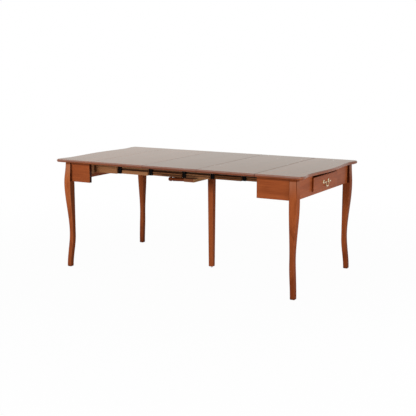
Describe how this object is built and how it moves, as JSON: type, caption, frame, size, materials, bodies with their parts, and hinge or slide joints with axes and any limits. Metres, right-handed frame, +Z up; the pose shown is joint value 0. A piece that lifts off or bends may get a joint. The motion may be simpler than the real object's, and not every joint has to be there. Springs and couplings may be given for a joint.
{
  "type": "extendable console table",
  "caption": "Wooden console table drawn out on dovetailed runners with loose leaves laid in, bowed corner legs, a straight centre leg and an end drawer with a brass drop pull.",
  "frame": {"origin": "floor point under the middle of the drawn-out table", "axes": "+X along the table towards the drawer end, +Y across it towards the back, +Z up"},
  "size_m": [1.9364, 1, 0.786],
  "materials": {
    "cherry_lacquer": "semi-gloss lacquer over red-brown stain",
    "runner_wood": "planed, unstained",
    "drawer_wood": "planed, unstained",
    "black_keeper": "matt black",
    "brass": "polished",
    "plate_steel": "zinc plated"
  },
  "bodies": {
    "centre": {"centre_leg": "cherry_lacquer", "centre_leg_plate": "plate_steel", "centre_bar": "runner_wood", "bar_peg": "cherry_lacquer", "front_runner_d": "runner_wood", "back_runner_d": "runner_wood", "front_keeper_d": "black_keeper", "back_keeper_d": "black_keeper"},
    "left_half": {"left_top": "cherry_lacquer", "left_end_apron": "cherry_lacquer", "left_front_apron": "cherry_lacquer", "left_back_apron": "cherry_lacquer", "left_front_leg": "cherry_lacquer", "left_back_leg": "cherry_lacquer", "left_front_cleat": "runner_wood", "left_back_cleat": "runner_wood", "front_runner_a": "runner_wood", "back_runner_a": "runner_wood", "front_keeper_a": "black_keeper", "back_keeper_a": "black_keeper"},
    "right_half": {"right_top": "cherry_lacquer", "right_end_apron": "cherry_lacquer", "right_front_apron": "cherry_lacquer", "right_back_apron": "cherry_lacquer", "right_front_leg": "cherry_lacquer", "right_back_leg": "cherry_lacquer", "right_front_cleat": "runner_wood", "right_back_cleat": "runner_wood", "front_runner_g": "runner_wood", "back_runner_g": "runner_wood", "drawer_strip_front": "runner_wood", "drawer_strip_back": "runner_wood"},
    "front_slide_b": {"front_runner_b": "runner_wood", "front_keeper_b": "black_keeper"},
    "front_slide_c": {"front_runner_c": "runner_wood", "front_keeper_c": "black_keeper"},
    "front_slide_e": {"front_runner_e": "runner_wood", "front_keeper_e": "black_keeper"},
    "front_slide_f": {"front_runner_f": "runner_wood", "front_keeper_f": "black_keeper"},
    "back_slide_b": {"back_runner_b": "runner_wood", "back_keeper_b": "black_keeper"},
    "back_slide_c": {"back_runner_c": "runner_wood", "back_keeper_c": "black_keeper"},
    "back_slide_e": {"back_runner_e": "runner_wood", "back_keeper_e": "black_keeper"},
    "back_slide_f": {"back_runner_f": "runner_wood", "back_keeper_f": "black_keeper"},
    "leaf_left": {"leaf_left": "cherry_lacquer"},
    "leaf_middle": {"leaf_middle": "cherry_lacquer"},
    "leaf_right": {"leaf_right": "cherry_lacquer"},
    "drawer": {"drawer_front": "cherry_lacquer", "drawer_side_front": "drawer_wood", "drawer_side_back": "drawer_wood", "drawer_back": "drawer_wood", "drawer_bottom": "drawer_wood", "pull_rosette_front": "brass", "pull_rosette_back": "brass"},
    "bail": {"pull_bail": "brass"}
  },
  "joints": [
    {"name": "close_right", "type": "slide", "parent": "centre", "child": "right_half", "axis": [-1, 0, 0], "range_m": [0, 0.57]},
    {"name": "close_left", "type": "slide", "parent": "centre", "child": "left_half", "axis": [1, 0, 0], "range_m": [0, 0.705]},
    {"name": "front_c_slide", "type": "slide", "parent": "centre", "child": "front_slide_c", "axis": [1, 0, 0], "range_m": [0, 0.2073]},
    {"name": "front_b_slide", "type": "slide", "parent": "front_slide_c", "child": "front_slide_b", "axis": [1, 0, 0], "range_m": [0, 0.2546]},
    {"name": "front_e_slide", "type": "slide", "parent": "centre", "child": "front_slide_e", "axis": [-1, 0, 0], "range_m": [0, 0.2259]},
    {"name": "front_f_slide", "type": "slide", "parent": "front_slide_e", "child": "front_slide_f", "axis": [-1, 0, 0], "range_m": [0, 0.2071]},
    {"name": "back_c_slide", "type": "slide", "parent": "centre", "child": "back_slide_c", "axis": [1, 0, 0], "range_m": [0, 0.2073]},
    {"name": "back_b_slide", "type": "slide", "parent": "back_slide_c", "child": "back_slide_b", "axis": [1, 0, 0], "range_m": [0, 0.2546]},
    {"name": "back_e_slide", "type": "slide", "parent": "centre", "child": "back_slide_e", "axis": [-1, 0, 0], "range_m": [0, 0.2259]},
    {"name": "back_f_slide", "type": "slide", "parent": "back_slide_e", "child": "back_slide_f", "axis": [-1, 0, 0], "range_m": [0, 0.2071]},
    {"name": "leaf_left_lift", "type": "slide", "parent": "centre", "child": "leaf_left", "axis": [0, 0, 1], "range_m": [0, 0.4]},
    {"name": "leaf_middle_lift", "type": "slide", "parent": "centre", "child": "leaf_middle", "axis": [0, 0, 1], "range_m": [0, 0.4]},
    {"name": "leaf_right_lift", "type": "slide", "parent": "centre", "child": "leaf_right", "axis": [0, 0, 1], "range_m": [0, 0.4]},
    {"name": "drawer_slide", "type": "slide", "parent": "right_half", "child": "drawer", "axis": [1, 0, 0], "range_m": [0, 0.13]},
    {"name": "bail_swing", "type": "hinge", "parent": "drawer", "child": "bail", "pos_m": [0.9291, 0, 0.6972], "axis": [0, -1, 0], "range_deg": [0, 95]}
  ],
  "couplings": [
    {"joint": "close_left", "follows": "close_right", "ratio": 1.2368},
    {"joint": "front_c_slide", "follows": "close_right", "ratio": 0.3636},
    {"joint": "front_b_slide", "follows": "close_right", "ratio": 0.4465},
    {"joint": "front_e_slide", "follows": "close_right", "ratio": 0.3962},
    {"joint": "front_f_slide", "follows": "close_right", "ratio": 0.3632},
    {"joint": "back_c_slide", "follows": "close_right", "ratio": 0.3636},
    {"joint": "back_b_slide", "follows": "close_right", "ratio": 0.4465},
    {"joint": "back_e_slide", "follows": "close_right", "ratio": 0.3962},
    {"joint": "back_f_slide", "follows": "close_right", "ratio": 0.3632},
    {"joint": "leaf_left_lift", "follows": "close_right", "ratio": 0.7018},
    {"joint": "leaf_middle_lift", "follows": "close_right", "ratio": 0.7018},
    {"joint": "leaf_right_lift", "follows": "close_right", "ratio": 0.7018}
  ]
}
